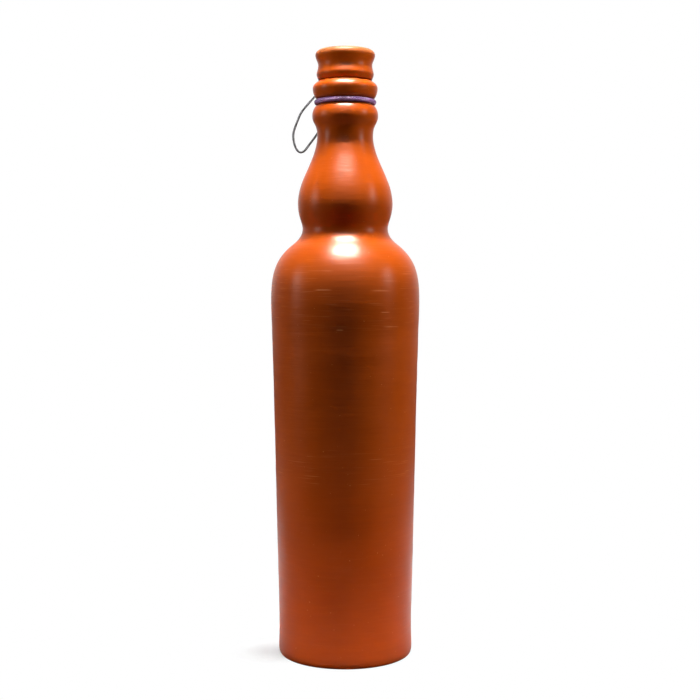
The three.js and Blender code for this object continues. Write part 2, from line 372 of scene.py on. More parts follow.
def softened(values, passes):
    """Values averaged with their neighbours, with the two ends held."""
    for _ in range(passes):
        inner = [(a + 2 * b + c) / 4 for a, b, c in zip(values, values[1:], values[2:])]
        values = [values[0], *inner, values[-1]]
    return values


def arc(middle, radius, first, last, steps=14):
    """Points on an arc in an outline, from one angle to another."""
    angles = [first + (last - first) * i / steps for i in range(steps + 1)]
    return [middle + radius * Vector((math.cos(a), math.sin(a))) for a in angles]


def body_outline():
    """From the middle of the foot, up the outside to the mouth, and down the hollow to its floor."""
    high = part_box("bottle_body")[1]
    widest = at(high.x / MM - RIPPLE_ROOM, WIDEST_HEIGHT)
    lip = at(LIP_RADIUS, high.z / MM)
    recess_edge = at(FOOT_RING_INNER, FOOT_RECESS)
    ring_inside = at(FOOT_RING_INNER + FOOT_RING_SLOPE, 0)
    ring_outside = at(FOOT_RING_OUTER, 0)
    cap = SHOULDER_TURN - SHOULDER_SLOPE * BODY_DOWN.shoulder_turn
    fillet = SHOULDER_TURN + SHOULDER_SLOPE * BODY_UP.shoulder_turn
    cove = arc(GROOVE, GROOVE_RADIUS, math.pi + GROOVE_EDGE, math.pi - GROOVE_EDGE)
    below, above = cove[0], cove[-1]
    outside = [
        (run(6, at(0, FOOT_RECESS), recess_edge), WIPED),
        (run(5, recess_edge, ring_inside), WIPED),
        (run(9, ring_inside, ring_outside), WIPED),
        (run(10, ring_outside, at(HEEL.x, 0), HEEL), WIPED),
        (through([HEEL, PINCH, LOW_WALL, HIGH_WALL, widest], 22), RIPPLE.wall),
        (run(32, widest, widest + up(BODY_UP.widest), cap, SHOULDER_TURN), RIPPLE.shoulder),
        (run(14, SHOULDER_TURN, fillet, WAIST - up(BODY_DOWN.waist), WAIST), RIPPLE.shoulder),
        (swell(14, WAIST, BODY_UP.waist, BODY_DOWN.bulb, BULB), RIPPLE.bulb_foot),
        (swell(34, BULB, BODY_UP.bulb, BODY_DOWN.neck, NECK), RIPPLE.bulb),
        (swell(14, NECK, BODY_UP.neck, BODY_DOWN.bead, BEAD), RIPPLE.neck),
        (run(9, BEAD, BEAD + up(BODY_UP.bead), below + GROOVE_LOW_HANDLE, below), RIPPLE.mouth),
        (cove, WIPED),
        (run(9, above, above + GROOVE_HIGH_HANDLE, COLLAR - up(BODY_DOWN.collar), COLLAR), RIPPLE.mouth),
        (run(14, COLLAR, COLLAR + up(BODY_UP.collar), lip + LIP_HANDLE, lip), RIPPLE.mouth),
    ]
    return joined(outside + hollow_stretches(lip))


def hollow_stretches(lip):
    """From the lip over the mouth and down the bore and the hollow to the middle of the floor."""
    mouth_edge = at(BORE_RADIUS + MOUTH_ROUNDING, lip.y)
    bore_top = at(BORE_RADIUS, lip.y - MOUTH_ROUNDING)
    floor_edge = at(FLOOR_CORNER.x - FLOOR_ROUNDING, FLOOR)
    return [
        (run(4, lip, mouth_edge), WIPED),
        (run(6, mouth_edge, at(BORE_RADIUS, lip.y), bore_top), WIPED),
        (run(10, bore_top, BORE_FOOT), WIPED),
        (swell(16, BORE_FOOT, HOLLOW_DOWN.bore, HOLLOW_UP.bulb, HOLLOW_BULB), RIPPLE.hollow_bulb),
        (swell(10, HOLLOW_BULB, HOLLOW_DOWN.bulb, HOLLOW_UP.waist, HOLLOW_WAIST), RIPPLE.hollow_bulb),
        (swell(20, HOLLOW_WAIST, HOLLOW_DOWN.waist, HOLLOW_UP.widest, HOLLOW_WIDEST), RIPPLE.hollow_wall),
        (run(16, HOLLOW_WIDEST, FLOOR_CORNER), RIPPLE.hollow_wall),
        (run(8, FLOOR_CORNER, at(FLOOR_CORNER.x - FLOOR_LEAN, FLOOR), floor_edge), RIPPLE.hollow_corner),
        (run(6, floor_edge, at(0, FLOOR)), WIPED),
    ]


def stopper_outline():
    """From the tip of the plug, up the plug and the underside to the knob and its dished top."""
    low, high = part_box("stopper")
    seat = high.z / MM - STOPPER_HEIGHT
    tip = low.z / MM - seat
    knob = at(high.x / MM, KNOB_HEIGHT)
    rim = at(KNOB_RIM_RADIUS, STOPPER_HEIGHT)
    dish = at(0, rim.y - DISH_DEPTH)
    points, ripple = joined([
        *plug_stretches(tip),
        (run(6, at(PLUG_TOP_RADIUS, 0), SEAT_EDGE), WIPED),
        (run(12, SEAT_EDGE, SEAT_EDGE + SEAT_EDGE_HANDLE, RING - up(STOPPER_DOWN.ring), RING), RIPPLE.ring),
        (swell(14, RING, STOPPER_UP.ring, STOPPER_DOWN.waist, KNOB_WAIST), RIPPLE.knob),
        (swell(14, KNOB_WAIST, STOPPER_UP.waist, STOPPER_DOWN.knob, knob), RIPPLE.knob),
        (run(14, knob, knob + up(STOPPER_UP.knob), rim + KNOB_RIM_HANDLES.outside, rim), RIPPLE.knob_rim),
        (run(20, rim, rim + KNOB_RIM_HANDLES.inside, at(DISH_FLAT, dish.y), dish), RIPPLE.dish),
    ])
    return [point + up(seat) for point in points], ripple


def plug_stretches(tip):
    """From the middle of the plug's tip, up its taper and round the groove of the seal to the seat."""
    middle = at(SEAL_RING_RADIUS, -SEAL_DEPTH)
    groove = SEAL_RADIUS + SEAL_GAP

    def on_taper(height):
        return at(PLUG_TOP_RADIUS + (PLUG_TIP_RADIUS - PLUG_TOP_RADIUS) * height / tip, height)

    half = math.sqrt(groove ** 2 - (on_taper(middle.y).x - middle.x) ** 2)
    groove_low, groove_high = on_taper(middle.y - half), on_taper(middle.y + half)
    first, last = (math.atan2(p.y - middle.y, p.x - middle.x) for p in (groove_low, groove_high))
    tip_edge = at(PLUG_TIP_RADIUS - PLUG_CHAMFER, tip)
    tip_side = at(PLUG_TIP_RADIUS, tip + PLUG_CHAMFER)
    return [
        (run(6, at(0, tip), tip_edge), WIPED),
        (run(5, tip_edge, at(PLUG_TIP_RADIUS, tip), tip_side), WIPED),
        (run(8, tip_side, groove_low), WIPED),
        (arc(middle, groove, first, last - math.tau), WIPED),
        (run(8, groove_high, at(PLUG_TOP_RADIUS, 0)), WIPED),
    ]


def seal_outline():
    """The round section of the sealing ring, with the low ridge of its mould seam."""
    low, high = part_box("stopper_gasket")
    middle = at(SEAL_RING_RADIUS, (low.z + high.z) / 2 / MM)
    steps = 48
    points = arc(middle, (high.z - low.z) / 2 / MM, 0, math.tau, steps)
    for i in (0, steps // 2, steps):
        points[i] += (points[i] - middle).normalized() * SEAL_SEAM
    return points, [WIPED] * len(points)


# Paths of the cords

def neck_cord_path():
    """Round the turn, along to the groove, round the neck and back into the turn, in metres."""
    low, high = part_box("neck_cord")
    round_neck = GROOVE.x + CORD_STAND_OFF
    leave = math.acos((round_neck - TURN_RADIUS) / TURN_DISTANCE)
    half_join = TURN_JOIN_GAP / 2 / TURN_RADIUS

    def on_turn(angle):
        rise = TURN_PITCH * (angle - math.pi) / math.tau
        return Vector((TURN_DISTANCE + TURN_RADIUS * math.cos(angle), TURN_RADIUS * math.sin(angle), rise))

    def on_groove(angle):
        return Vector((round_neck * math.cos(angle), round_neck * math.sin(angle), 0))

    def between(steps, start, end, place):
        return [place(start + (end - start) * i / steps) for i in range(steps + 1)]

    def straight(turn_end, groove_end, steps=12):
        """The stretch from the turn to the groove, which keeps its height at first and then evens out."""
        points = []
        for i in range(1, steps):
            fall = min(max((i / steps - RISEN_SHARE) / (LEVEL_SHARE - RISEN_SHARE), 0), 1)
            point = turn_end.lerp(groove_end, i / steps)
            point.z = turn_end.z * (1 - fall * fall * (3 - 2 * fall))
            points.append(point)
        return points

    upper = between(40, math.pi + half_join, math.tau + leave, on_turn)
    groove = between(90, leave, math.tau - leave, on_groove)
    lower = between(40, -leave, math.pi - half_join, on_turn)
    points = upper + straight(upper[-1], groove[0]) + groove
    points += straight(lower[0], groove[-1])[::-1] + lower
    place = Matrix.Translation((0, 0, (low.z + high.z) / 2)) @ Matrix.Rotation(TURN_BEARING, 4, "Z")
    return [place @ (point * MM) for point in points]


def loop_path():
    """The hanging loop, from the middle of the round turn out to the left and back, in metres."""
    axis = Vector((math.cos(TURN_BEARING), math.sin(TURN_BEARING), 0)) * TURN_DISTANCE
    axis.z = GROOVE.y
    points = [(axis + Vector((-reach, 0, rise))) * MM for reach, rise in LOOP_ROUTE]
    return through(points, 6)


# Nodes

def feed(tree, inputs, values):
    """Set inputs of a node to values, or link them to the outputs of other nodes."""
    for key, value in values.items():
        if isinstance(value, bpy.types.NodeSocket):
            tree.links.new(value, inputs[key])
        else:
            inputs[key].default_value = value


def add(tree, kind, inputs=None, **settings):
    """Add a node to a tree, with its settings, and feed its inputs."""
    node = tree.nodes.new(kind)
    for name, value in settings.items():
        setattr(node, name, value)
    feed(tree, node.inputs, inputs or {})
    return node


def out(tree, kind, inputs=None, **settings):
    """The first output of a node that is added to a tree."""
    return add(tree, kind, inputs, **settings).outputs[0]


def maths(tree, operation, a, b=0.0, c=0.0):
    """The output of a Math node."""
    return out(tree, "ShaderNodeMath", {0: a, 1: b, 2: c}, operation=operation)


def times(tree, a, b):
    """The product of two values."""
    return maths(tree, "MULTIPLY", a, b)


def vector_maths(tree, operation, a, b=(0, 0, 0)):
    """The vector output of a Vector Math node."""
    return out(tree, "ShaderNodeVectorMath", {0: a, 1: b}, operation=operation)


def scaled(tree, vector, scale):
    """A vector times a value."""
    return out(tree, "ShaderNodeVectorMath", {0: vector, "Scale": scale}, operation="SCALE")


def joined_xyz(tree, x=0.0, y=0.0, z=0.0):
    """A vector from its three values."""
    return out(tree, "ShaderNodeCombineXYZ", {0: x, 1: y, 2: z})


def noise(tree, vector, scale=1.0, detail=2.0, roughness=0.5):
    """The value of a 3D noise texture."""
    inputs = {"Vector": vector, "Scale": scale, "Detail": detail, "Roughness": roughness}
    return add(tree, "ShaderNodeTexNoise", inputs).outputs["Fac"]


def ranged(tree, value, low, high, to_low=0.0, to_high=1.0):
    """A value moved smoothly from one range to another."""
    inputs = {"Value": value, "From Min": low, "From Max": high, "To Min": to_low, "To Max": to_high}
    return add(tree, "ShaderNodeMapRange", inputs, interpolation_type="SMOOTHSTEP").outputs["Result"]


def mixed(tree, share, a, b):
    """A mix of two colours."""
    inputs = {"Factor": share, 6: a, 7: b}
    return add(tree, "ShaderNodeMix", inputs, data_type="RGBA").outputs[2]


GEOMETRY, MATERIAL = "NodeSocketGeometry", "NodeSocketMaterial"
COUNT, VALUE, VECTOR = "NodeSocketInt", "NodeSocketFloat", "NodeSocketVector"


def new_group(name, kind, inputs, outputs):
    """A node group with its sockets, and its input and output nodes.

    An input is given by its default, a count or a value, or by its kind where it has no default.
    """
    tree = bpy.data.node_groups.new(name, kind)
    for label, given in inputs.items():
        socket_type = given if isinstance(given, str) else COUNT if isinstance(given, int) else VALUE
        socket = tree.interface.new_socket(name=label, in_out="INPUT", socket_type=socket_type)
        if given != socket_type:
            socket.default_value = given
    for label, socket_type in outputs.items():
        tree.interface.new_socket(name=label, in_out="OUTPUT", socket_type=socket_type)
    return tree, add(tree, "NodeGroupInput").outputs, add(tree, "NodeGroupOutput").inputs


MADE = {}


def shared(make):
    """What a function makes, made once."""
    if make not in MADE:
        MADE[make] = make()
    return MADE[make]


# Geometry Nodes

def wheel_tree():
    """Revolves an outline, a line of points at x = radius and z = height, with throwing rings on it."""
    tree, given, result = new_group(
        "Turned on the wheel", "GeometryNodeTree",
        {"Outline": GEOMETRY, "Sides": 160, "Ripple Depth": 0.0001, "Ripple Pitch": 0.008,
         "Ripple Wander": 0.3, "Seed": 0.0, "Material": MATERIAL},
        {"Geometry": GEOMETRY})
    outline = given["Outline"]
    rows = add(tree, "GeometryNodeAttributeDomainSize", {"Geometry": outline}).outputs["Point Count"]
    columns = maths(tree, "ADD", given["Sides"], 1)
    grid = add(tree, "GeometryNodeMeshGrid", {"Vertices X": columns, "Vertices Y": rows})

    index = out(tree, "GeometryNodeInputIndex")
    row = maths(tree, "FLOORED_MODULO", index, rows)
    column = maths(tree, "FLOOR", maths(tree, "DIVIDE", maths(tree, "ADD", index, 0.5), rows))
    share = maths(tree, "DIVIDE", column, given["Sides"])
    angle = times(tree, share, math.tau)

    def at_row(value, data_type):
        inputs = {"Geometry": outline, "Value": value, "Index": row}
        return out(tree, "GeometryNodeSampleIndex", inputs, data_type=data_type)

    def stored(name):
        return out(tree, "GeometryNodeInputNamedAttribute", {"Name": name}, data_type="FLOAT")

    def turned(vector):
        inputs = {"Vector": vector, "Angle": angle}
        return out(tree, "ShaderNodeVectorRotate", inputs, rotation_type="Z_AXIS")

    place = at_row(out(tree, "GeometryNodeInputPosition"), "FLOAT_VECTOR")
    along = at_row(stored("along"), "FLOAT")
    ripple = at_row(stored("ripple"), "FLOAT")

    turns = maths(tree, "ADD", maths(tree, "DIVIDE", along, given["Ripple Pitch"]), given["Seed"])
    wave = noise(tree, turned(joined_xyz(tree, x=given["Ripple Wander"], z=turns)), detail=1.0)
    depth = times(tree, times(tree, ripple, given["Ripple Depth"]), 2)
    offset = times(tree, maths(tree, "SUBTRACT", wave, 0.5), depth)
    moved = turned(vector_maths(tree, "ADD", place, joined_xyz(tree, x=offset)))

    shaped = out(tree, "GeometryNodeSetPosition", {"Geometry": grid.outputs["Mesh"], "Position": moved})
    on_points = out(
        tree, "GeometryNodeFieldOnDomain", {"Value": joined_xyz(tree, x=share, y=along)},
        data_type="FLOAT_VECTOR", domain="POINT")
    mapped = out(
        tree, "GeometryNodeStoreNamedAttribute", {"Geometry": shaped, "Name": "UVMap", "Value": on_points},
        data_type="FLOAT2", domain="CORNER")
    closed = out(tree, "GeometryNodeMergeByDistance", {"Geometry": mapped, "Distance": WELD})
    finish(tree, closed, given["Material"], result)
    return tree


def strand_tree():
    """Lays strands round a path, all one way as a twisted cord or both ways, over and under, as a braid."""
    tree, given, result = new_group(
        "Laid strands", "GeometryNodeTree",
        {"Path": GEOMETRY, "Strands": 3, "Ways": 1, "Ring Radius": 0.0003, "Weave Depth": 0.0,
         "Strand Radius": 0.0002, "Lay Length": 0.003, "Spacing": 0.0002, "Strand Sides": 6,
         "Material": MATERIAL},
        {"Geometry": GEOMETRY})
    curve = out(tree, "GeometryNodeMeshToCurve", {"Mesh": given["Path"]})
    inputs = {"Curve": curve, "Length": given["Spacing"]}
    even = out(tree, "GeometryNodeResampleCurve", inputs, mode="LENGTH")
    inputs = {"Geometry": even, "Amount": times(tree, given["Strands"], given["Ways"])}
    copies = add(tree, "GeometryNodeDuplicateElements", inputs, domain="SPLINE")

    number = copies.outputs["Duplicate Index"]
    back = maths(tree, "FLOORED_MODULO", number, given["Ways"])
    way = maths(tree, "SUBTRACT", 1, times(tree, back, 2))
    start = maths(tree, "FLOOR", maths(tree, "DIVIDE", number, given["Ways"]))
    start = times(tree, maths(tree, "DIVIDE", start, given["Strands"]), math.tau)
    length = add(tree, "GeometryNodeSplineParameter").outputs["Length"]
    turn = times(tree, maths(tree, "DIVIDE", length, given["Lay Length"]), math.tau)
    angle = maths(tree, "ADD", start, times(tree, way, turn))
    lift = maths(tree, "COSINE", times(tree, turn, given["Strands"]))
    lift = times(tree, times(tree, lift, way), given["Weave Depth"])
    reach = maths(tree, "ADD", given["Ring Radius"], lift)

    normal, tangent = out(tree, "GeometryNodeInputNormal"), out(tree, "GeometryNodeInputTangent")
    inputs = {"Vector": normal, "Axis": tangent, "Angle": angle}
    outward = out(tree, "ShaderNodeVectorRotate", inputs, rotation_type="AXIS_ANGLE")
    inputs = {"Geometry": copies.outputs[0], "Offset": scaled(tree, outward, reach)}
    laid = out(tree, "GeometryNodeSetPosition", inputs)

    def marked(geometry, name, value):
        inputs = {"Geometry": geometry, "Name": name, "Value": value}
        return out(tree, "GeometryNodeStoreNamedAttribute", inputs, data_type="FLOAT", domain="POINT")

    def tube(line, radius, sides):
        ring = out(tree, "GeometryNodeCurvePrimitiveCircle", {"Resolution": sides, "Radius": radius})
        around = add(tree, "GeometryNodeSplineParameter").outputs["Factor"]
        inputs = {"Curve": line, "Profile Curve": marked(ring, "around", around), "Fill Caps": True}
        return out(tree, "GeometryNodeCurveToMesh", inputs)

    strands = tube(marked(laid, "along", length), given["Strand Radius"], given["Strand Sides"])
    core = tube(even, times(tree, given["Ring Radius"], CORE_SHARE), CORE_SIDES)
    both = add(tree, "GeometryNodeJoinGeometry")
    tree.links.new(strands, both.inputs[0])
    tree.links.new(core, both.inputs[0])
    finish(tree, both.outputs[0], given["Material"], result)
    return tree


def finish(tree, geometry, material, result):
    """Smooth faces, real geometry and a material at the end of a tree."""
    smooth = out(tree, "GeometryNodeSetShadeSmooth", {"Geometry": geometry})
    real = out(tree, "GeometryNodeRealizeInstances", {"Geometry": smooth})
    dressed = out(tree, "GeometryNodeSetMaterial", {"Geometry": real, "Material": material})
    feed(tree, result, {"Geometry": dressed})


def line_mesh(name, points, **attributes):
    """A mesh of points joined in a row, with a float attribute for each list of values."""
    mesh = bpy.data.meshes.new(name)
    mesh.from_pydata(points, [(i, i + 1) for i in range(len(points) - 1)], [])
    for label, values in attributes.items():
        mesh.attributes.new(label, "FLOAT", "POINT").data.foreach_set("value", values)
    return mesh


def grown(name, start, tree, **values):
    """A piece with the plain mesh that a tree grows from a start mesh."""
    piece = bpy.data.objects.new(name, start)
    bpy.context.scene.collection.objects.link(piece)
    modifier = piece.modifiers.new(tree.name, "NODES")
    modifier.node_group = tree
    for socket in tree.interface.items_tree:
        label = socket.name.lower().replace(" ", "_")
        if socket.in_out == "INPUT" and label in values:
            modifier[socket.identifier] = values[label]
    evaluated = piece.evaluated_get(bpy.context.evaluated_depsgraph_get())
    mesh = bpy.data.meshes.new_from_object(evaluated)
    piece.modifiers.remove(modifier)
    piece.data = mesh
    mesh.name = name
    bpy.data.meshes.remove(start)
    if not mesh.polygons:
        raise RuntimeError(f"{name} came out of its tree without faces")
    return piece


def turned_piece(name, outline, sizes, material, seed=0.0):
    """A piece turned from an outline in millimetres."""
    points, ripple = outline
    points = softened(points, sizes.edge_passes)
    ripple = softened(ripple, RIPPLE_FADE_PASSES)
    along = [0.0]
    for a, b in zip(points, points[1:]):
        along.append(along[-1] + (b - a).length * MM)
    places = [(max(p.x, 0) * MM, 0, p.y * MM) for p in points]
    start = line_mesh(name + "_outline", places, along=along, ripple=ripple)
    return grown(
        name, start, shared(wheel_tree), sides=sizes.sides, ripple_depth=sizes.ripple_depth,
        ripple_pitch=sizes.ripple_pitch, ripple_wander=sizes.ripple_wander, seed=seed, material=material)


# Finishes

def placed(tree, group, **values):
    """The outputs of a shared node group in a tree, with its own values."""
    inputs = {label.replace("_", " ").title(): value for label, value in values.items()}
    return add(tree, "ShaderNodeGroup", inputs, node_tree=shared(group)).outputs


def object_place(tree):
    """Where a point of a piece is, with the piece at rest."""
    return add(tree, "ShaderNodeTexCoord").outputs["Object"]


def height_over_floor(tree):
    """Height of a point of a piece in millimetres, with the piece at rest."""
    xyz = add(tree, "ShaderNodeSeparateXYZ", {0: object_place(tree)}).outputs
    return maths(tree, "DIVIDE", xyz["Z"], MM)


def grey(level):
    """A colour without a hue."""
    return (level, level, level, 1)


def wheel_coordinates():
    """Coordinates on a turned piece: a direction round its axis, and millimetres along its outline."""
    tree, given, result = new_group(
        "Wheel coordinates", "ShaderNodeTree", {"Along Scale": 1.0, "Round Scale": 1.0}, {"Vector": VECTOR})
    flat = vector_maths(tree, "MULTIPLY", object_place(tree), (1, 1, 0))
    around = scaled(tree, vector_maths(tree, "NORMALIZE", flat), given["Round Scale"])
    mapped = out(tree, "ShaderNodeUVMap", uv_map="UVMap")
    along = add(tree, "ShaderNodeSeparateXYZ", {0: mapped}).outputs["Y"]
    along = times(tree, maths(tree, "DIVIDE", along, MM), given["Along Scale"])
    feed(tree, result, {"Vector": vector_maths(tree, "ADD", around, joined_xyz(tree, z=along))})
    return tree


def wheel_noise(tree, scales, detail=1.0, roughness=0.5):
    """Noise that is drawn out into lines round a turned piece."""
    along, around = scales
    vector = placed(tree, wheel_coordinates, along_scale=along, round_scale=around)["Vector"]
    return noise(tree, vector, detail=detail, roughness=roughness)


def turning_lines():
    """Fine and coarse lines that run round a turned piece, and broad streaks of tone."""
    tree, given, result = new_group(
        "Turning lines", "ShaderNodeTree", {"Fine Share": 0.2}, {"Lines": VALUE, "Streaks": VALUE})
    fine = wheel_noise(tree, FINE_LINES, roughness=LINE_NOISE)
    coarse = wheel_noise(tree, COARSE_LINES, roughness=LINE_NOISE)
    broad = wheel_noise(tree, BROAD_STREAKS, detail=3.0, roughness=LINE_NOISE)
    coarse_share = maths(tree, "SUBTRACT", 1, given["Fine Share"])
    lines = maths(tree, "MULTIPLY_ADD", coarse, coarse_share, times(tree, fine, given["Fine Share"]))
    feed(tree, result, {"Lines": lines, "Streaks": ranged(tree, broad, *STREAK_SPAN)})
    return tree


def clay_mottle():
    """Clouds of lighter and darker clay, and the grains that show in it."""
    tree, given, result = new_group(
        "Clay mottle", "ShaderNodeTree", {"Cloud Size": 0.03, "Grain Size": 0.0006},
        {"Clouds": VALUE, "Grains": VALUE})
    place = object_place(tree)
    clouds = noise(tree, place, maths(tree, "DIVIDE", 1, given["Cloud Size"]), detail=4.0, roughness=0.55)
    grains = noise(tree, place, maths(tree, "DIVIDE", 1, given["Grain Size"]), detail=1.0)
    feed(tree, result, {"Clouds": ranged(tree, clouds, *NOISE_SPAN), "Grains": grains})
    return tree


def handling_wear():
    """Broken scratches, most of them in the worn bands, short scuffs and flecks, as a mask of pale dust."""
    tree, given, result = new_group(
        "Handling wear", "ShaderNodeTree", {"Amount": 0.5, "In Bands": 0.5, "Elsewhere": 0.06},
        {"Dust": VALUE})
    place = object_place(tree)
    xyz = add(tree, "ShaderNodeSeparateXYZ", {0: place}).outputs
    height = height_over_floor(tree)
    bearing = maths(tree, "ARCTAN2", xyz["X"], times(tree, xyz["Y"], -1))

    def near(value, middle, half, core=0.3):
        """1 near the middle of a stretch, and 0 from half its size outwards."""
        away = maths(tree, "ABSOLUTE", maths(tree, "SUBTRACT", value, middle))
        return ranged(tree, away, core * half, half, 1.0, 0.0)

    worn = 0.0
    for middle, half in WORN_BANDS:
        worn = maths(tree, "MAXIMUM", worn, near(height, middle, half))
    breaks = ranged(tree, wheel_noise(tree, SCRATCH_BREAKS), *BREAK_SPAN)
    scratches = times(tree, ranged(tree, wheel_noise(tree, SCRATCHES), *SCRATCH_SPAN), breaks)
    dust = times(tree, scratches, maths(tree, "MULTIPLY_ADD", worn, given["In Bands"], given["Elsewhere"]))
    for turned, level, length, thickness in SCUFFS:
        scuff = times(tree, near(bearing, math.radians(turned), length), near(height, level, thickness))
        dust = maths(tree, "MAXIMUM", dust, times(tree, scuff, breaks))
    flecks = ranged(tree, noise(tree, place, FLECKS_PER_METRE, detail=0.0), *FLECK_SPAN)
    feed(tree, result, {"Dust": times(tree, maths(tree, "MAXIMUM", dust, flecks), given["Amount"])})
    return tree


def redness_and_top_paint():
    """Masks of the clay that the fire left redder, by the foot, and of the paler colour painted on the top
    of the knob for its rim lit from above.
    """
    tree, _, result = new_group("Kiln redness and top paint", "ShaderNodeTree", {}, {"Redness": VALUE, "Dryness": VALUE})
    height = height_over_floor(tree)
    feed(tree, result, {
        "Redness": ranged(tree, height, *FOOT_RED, 1.0, 0.0), "Dryness": ranged(tree, height, *KNOB_TOP_PAINT)})
    return tree


def yarn_fibres():
    """Fine fibres that run along a strand, and patches where the dye has faded."""
    tree, given, result = new_group(
        "Yarn fibres", "ShaderNodeTree",
        {"Fibres Round": 9.0, "Fibres Per Metre": 900.0, "Patches Per Metre": 260.0},
        {"Fibres": VALUE, "Fade": VALUE})

    def stored(name):
        return add(tree, "ShaderNodeAttribute", attribute_name=name).outputs["Fac"]

    around = times(tree, stored("around"), given["Fibres Round"])
    along = times(tree, stored("along"), given["Fibres Per Metre"])
    patches = noise(tree, object_place(tree), given["Patches Per Metre"], detail=3.0)
    feed(tree, result, {
        "Fibres": noise(tree, joined_xyz(tree, x=around, y=along)),
        "Fade": ranged(tree, patches, *NOISE_SPAN)})
    return tree


def new_material(name):
    """A new material, its tree and its Principled shader."""
    material = bpy.data.materials.new(name)
    material.use_nodes = True
    tree = material.node_tree
    return material, tree, tree.nodes["Principled BSDF"]


def bump(tree, height, depth):
    """A normal that lets a height stand out of a surface by a depth in metres."""
    return out(tree, "ShaderNodeBump", {"Height": height, "Distance": depth, "Strength": 1.0})


def burnished_clay(name, clay, wear, streak_tone=0.25, cloud_tone=0.35, line_tone=0.4, cloud_dulling=0.08,
                   dust_dulling=0.2, grain_height=0.12):
    """Satin red clay with turning lines, clouds in its colour, grain and scratches."""
    material, tree, shader = new_material(name)
    lines = placed(tree, turning_lines)
    mottle = placed(tree, clay_mottle)
    redness_and_top = placed(tree, redness_and_top_paint)
    dust = placed(tree, handling_wear, amount=wear)["Dust"]

    tone = times(tree, mottle["Clouds"], cloud_tone)
    tone = maths(tree, "MULTIPLY_ADD", lines["Streaks"], streak_tone, tone)
    tone = maths(tree, "MULTIPLY_ADD", lines["Lines"], line_tone, tone)
    colour = mixed(tree, tone, clay.deep_clay, clay.light_clay)
    tint = mixed(tree, redness_and_top["Redness"], grey(1), clay.foot_tint)
    # Painted light: the top of the knob takes a paler colour that stands in for its rim lit from above
    colour = mixed(tree, redness_and_top["Dryness"], vector_maths(tree, "MULTIPLY", colour, tint), clay.pale_knob_top_paint)
    smoothest = clay.roughness - cloud_dulling / 2
    rough = maths(tree, "MULTIPLY_ADD", mottle["Clouds"], cloud_dulling, smoothest)
    relief = maths(tree, "MULTIPLY_ADD", mottle["Grains"], grain_height, lines["Lines"])
    height = height_over_floor(tree)
    burnish = ranged(tree, height, *FOOT_DULL, clay.foot_burnish, clay.burnish)
    burnish = times(tree, burnish, ranged(tree, height, *KNOB_DULL, 1.0, clay.knob_burnish))
    feed(tree, shader.inputs, {
        "Base Color": mixed(tree, dust, colour, clay.scuff),
        "Roughness": maths(tree, "MULTIPLY_ADD", dust, dust_dulling, rough),
        "Specular IOR Level": burnish,
        "Specular Tint": clay.shine_tint,
        "Tangent": out(tree, "ShaderNodeTangent", direction_type="UV_MAP", uv_map="UVMap"),
        "Anisotropic": clay.brushing,
        "Anisotropic Rotation": QUARTER_TURN,
        "Normal": bump(tree, relief, clay.line_depth),
    })
    return material


def yarn(name, colour, roughness, shine, dark_dye=0.62, light_dye=1.25, fibre_tone=0.6, fibre_dulling=0.16,
         fibre_depth=0.00003):
    """Dyed yarn with fibres along each strand and slightly uneven dye."""
    material, tree, shader = new_material(name)
    fibres = placed(tree, yarn_fibres)
    dark = [dark_dye * channel for channel in colour[:3]] + [1]
    light = [min(light_dye * channel, 1) for channel in colour[:3]] + [1]
    fade = times(tree, fibres["Fade"], 1 - fibre_tone)
    tone = maths(tree, "MULTIPLY_ADD", fibres["Fibres"], fibre_tone, fade)
    rough = maths(tree, "MULTIPLY_ADD", fibres["Fibres"], fibre_dulling, roughness - fibre_dulling / 2)
    feed(tree, shader.inputs, {
        "Base Color": mixed(tree, tone, dark, light), "Roughness": rough, "Specular IOR Level": shine,
        "Normal": bump(tree, fibres["Fibres"], fibre_depth)})
    return material


def seal_rubber(dark=(0.56, 0.52, 0.44, 1), light=(0.66, 0.62, 0.54, 1), roughness=0.5, grain_dulling=0.15,
                grain_depth=0.00002):
    """Pale moulded rubber with a fine grain."""
    material, tree, shader = new_material("pale_rubber")
    mottle = placed(tree, clay_mottle, cloud_size=0.004, grain_size=0.0003)
    feed(tree, shader.inputs, {
        "Base Color": mixed(tree, mottle["Clouds"], dark, light),
        "Roughness": maths(tree, "MULTIPLY_ADD", mottle["Grains"], grain_dulling, roughness),
        "Normal": bump(tree, mottle["Grains"], grain_depth)})
    return material


# Stage

class Lamp(NamedTuple):
    """A flat lamp: its place, what it faces and its size in metres, and its share of a stage setting.

    It may light the clay, shine in it or both, and a grid may hold its light to an angle in degrees.
    """

    place: tuple
    faces: tuple
    size: tuple
    setting: str
    share: float = 1.0
    lights: bool = True
    shines: bool = True
    grid: float = 180.0


